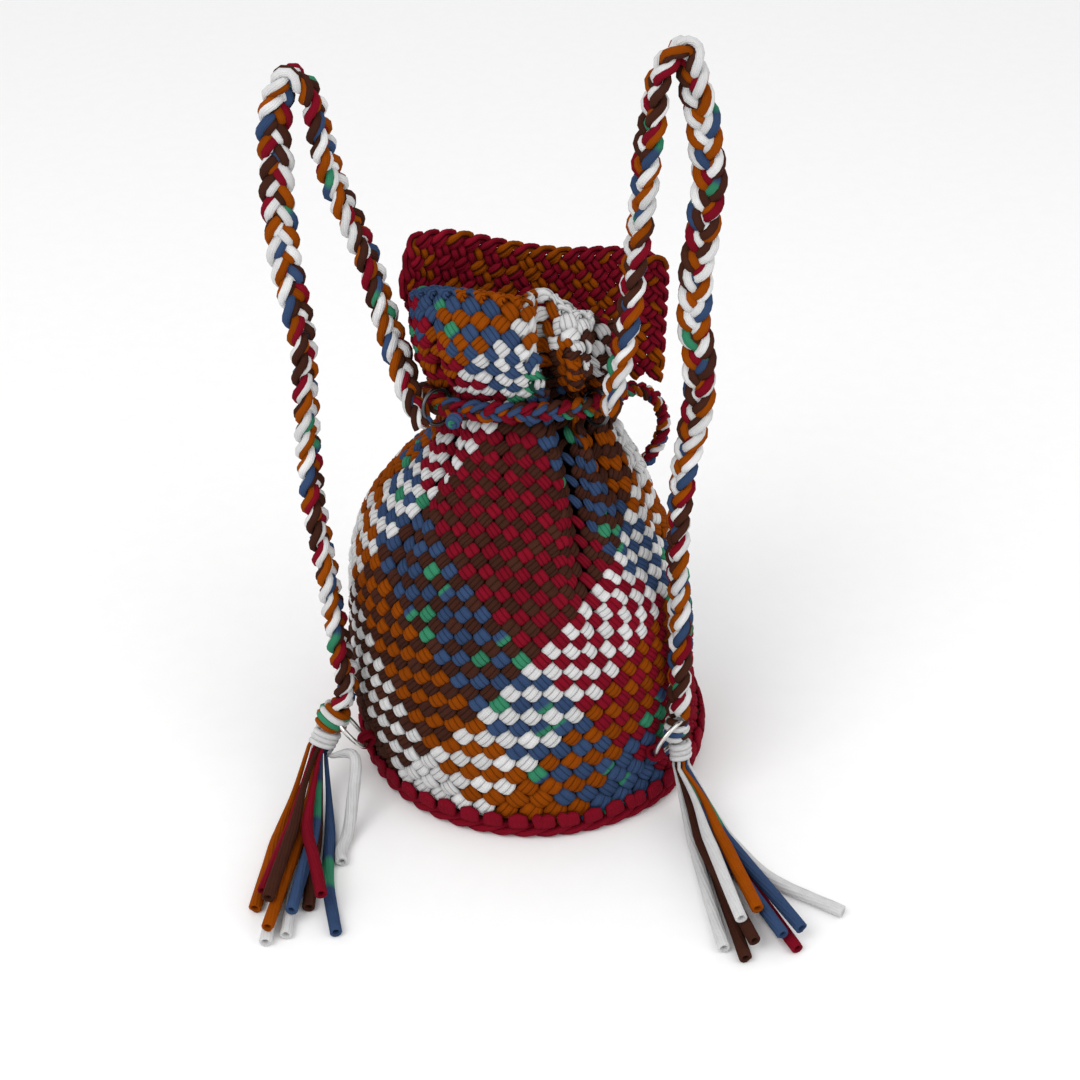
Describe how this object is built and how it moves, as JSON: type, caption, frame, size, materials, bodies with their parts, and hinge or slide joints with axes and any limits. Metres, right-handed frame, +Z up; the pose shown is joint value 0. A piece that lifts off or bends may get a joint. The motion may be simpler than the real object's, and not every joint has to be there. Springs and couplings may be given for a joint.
{
  "type": "backpack",
  "caption": "Hand-woven bucket backpack standing on its round base, with a gathered neck, a stand-up flap, braided shoulder straps on metal rings and tasselled ends.",
  "frame": {"origin": "on the floor under the middle of the round base", "axes": "+Z up, the front of the bag looks along -Y, +X to the right as seen from the front"},
  "size_m": [0.357, 0.3334, 0.4798],
  "materials": {
    "base_ring_metal_left": "bright plated wire",
    "base_ring_metal_right": "bright plated wire",
    "base_yarn": "matte rolled jersey yarn",
    "binding_yarn_left": "matte rolled jersey yarn",
    "binding_yarn_right": "matte rolled jersey yarn",
    "carry_yarn": "matte rolled jersey yarn",
    "drawstring_knot_yarn": "matte rolled jersey yarn",
    "drawstring_yarn": "matte rolled jersey yarn",
    "edge_yarn": "matte rolled jersey yarn",
    "flap_yarn": "matte rolled jersey yarn",
    "knot_yarn_left": "matte rolled jersey yarn",
    "knot_yarn_right": "matte rolled jersey yarn",
    "loop_yarn_left": "matte rolled jersey yarn",
    "loop_yarn_right": "matte rolled jersey yarn",
    "neck_ring_metal_left": "dark plated wire",
    "neck_ring_metal_right": "dark plated wire",
    "strap_yarn_left": "matte rolled jersey yarn",
    "strap_yarn_right": "matte rolled jersey yarn",
    "tassel_left_10_yarn": "matte rolled jersey yarn",
    "tassel_left_11_yarn": "matte rolled jersey yarn",
    "tassel_left_1_yarn": "matte rolled jersey yarn",
    "tassel_left_2_yarn": "matte rolled jersey yarn",
    "tassel_left_3_yarn": "matte rolled jersey yarn",
    "tassel_left_4_yarn": "matte rolled jersey yarn",
    "tassel_left_5_yarn": "matte rolled jersey yarn",
    "tassel_left_6_yarn": "matte rolled jersey yarn",
    "tassel_left_7_yarn": "matte rolled jersey yarn",
    "tassel_left_8_yarn": "matte rolled jersey yarn",
    "tassel_left_9_yarn": "matte rolled jersey yarn",
    "tassel_right_1_yarn": "matte rolled jersey yarn",
    "tassel_right_2_yarn": "matte rolled jersey yarn",
    "tassel_right_3_yarn": "matte rolled jersey yarn",
    "tassel_right_4_yarn": "matte rolled jersey yarn",
    "tassel_right_5_yarn": "matte rolled jersey yarn",
    "tassel_right_6_yarn": "matte rolled jersey yarn",
    "tassel_right_7_yarn": "matte rolled jersey yarn",
    "tassel_right_8_yarn": "matte rolled jersey yarn",
    "tassel_right_9_yarn": "matte rolled jersey yarn",
    "wall_yarn": "matte rolled jersey yarn"
  },
  "bodies": {
    "bag": {"base_disc": "base_yarn", "base_edge_plait": "edge_yarn", "base_loop_left": "loop_yarn_left", "base_loop_right": "loop_yarn_right", "carry_loop": "carry_yarn", "drawstring": "drawstring_yarn", "drawstring_knot": "drawstring_knot_yarn", "flap": "flap_yarn", "strap_knot_left": "knot_yarn_left", "strap_knot_right": "knot_yarn_right", "strap_left": "strap_yarn_left", "strap_right": "strap_yarn_right", "tassel_binding_left": "binding_yarn_left", "tassel_binding_right": "binding_yarn_right", "tassel_left_1": "tassel_left_1_yarn", "tassel_left_10": "tassel_left_10_yarn", "tassel_left_11": "tassel_left_11_yarn", "tassel_left_2": "tassel_left_2_yarn", "tassel_left_3": "tassel_left_3_yarn", "tassel_left_4": "tassel_left_4_yarn", "tassel_left_5": "tassel_left_5_yarn", "tassel_left_6": "tassel_left_6_yarn", "tassel_left_7": "tassel_left_7_yarn", "tassel_left_8": "tassel_left_8_yarn", "tassel_left_9": "tassel_left_9_yarn", "tassel_right_1": "tassel_right_1_yarn", "tassel_right_2": "tassel_right_2_yarn", "tassel_right_3": "tassel_right_3_yarn", "tassel_right_4": "tassel_right_4_yarn", "tassel_right_5": "tassel_right_5_yarn", "tassel_right_6": "tassel_right_6_yarn", "tassel_right_7": "tassel_right_7_yarn", "tassel_right_8": "tassel_right_8_yarn", "tassel_right_9": "tassel_right_9_yarn", "woven_wall": "wall_yarn"},
    "neck_ring_left": {"neck_ring_left": "neck_ring_metal_left"},
    "neck_ring_right": {"neck_ring_right": "neck_ring_metal_right"},
    "base_ring_left": {"base_ring_left": "base_ring_metal_left"},
    "base_ring_right": {"base_ring_right": "base_ring_metal_right"}
  },
  "joints": [
    {"name": "neck_ring_left_turn", "type": "hinge", "parent": "bag", "child": "neck_ring_left", "pos_m": [-0.05551, -0.03266, 0.26564], "axis": [0.6442, -0.7254, 0.2424], "continuous": true},
    {"name": "neck_ring_right_turn", "type": "hinge", "parent": "bag", "child": "neck_ring_right", "pos_m": [0.03726, -0.03865, 0.26875], "axis": [0.7616, 0.6218, -0.1825], "continuous": true},
    {"name": "base_ring_left_turn", "type": "hinge", "parent": "bag", "child": "base_ring_left", "pos_m": [-0.11592, -0.06115, 0.04703], "axis": [0.752, 0.2389, 0.6143], "continuous": true},
    {"name": "base_ring_right_turn", "type": "hinge", "parent": "bag", "child": "base_ring_right", "pos_m": [0.08638, -0.07945, 0.05514], "axis": [0.7251, -0.5983, -0.341], "continuous": true}
  ]
}
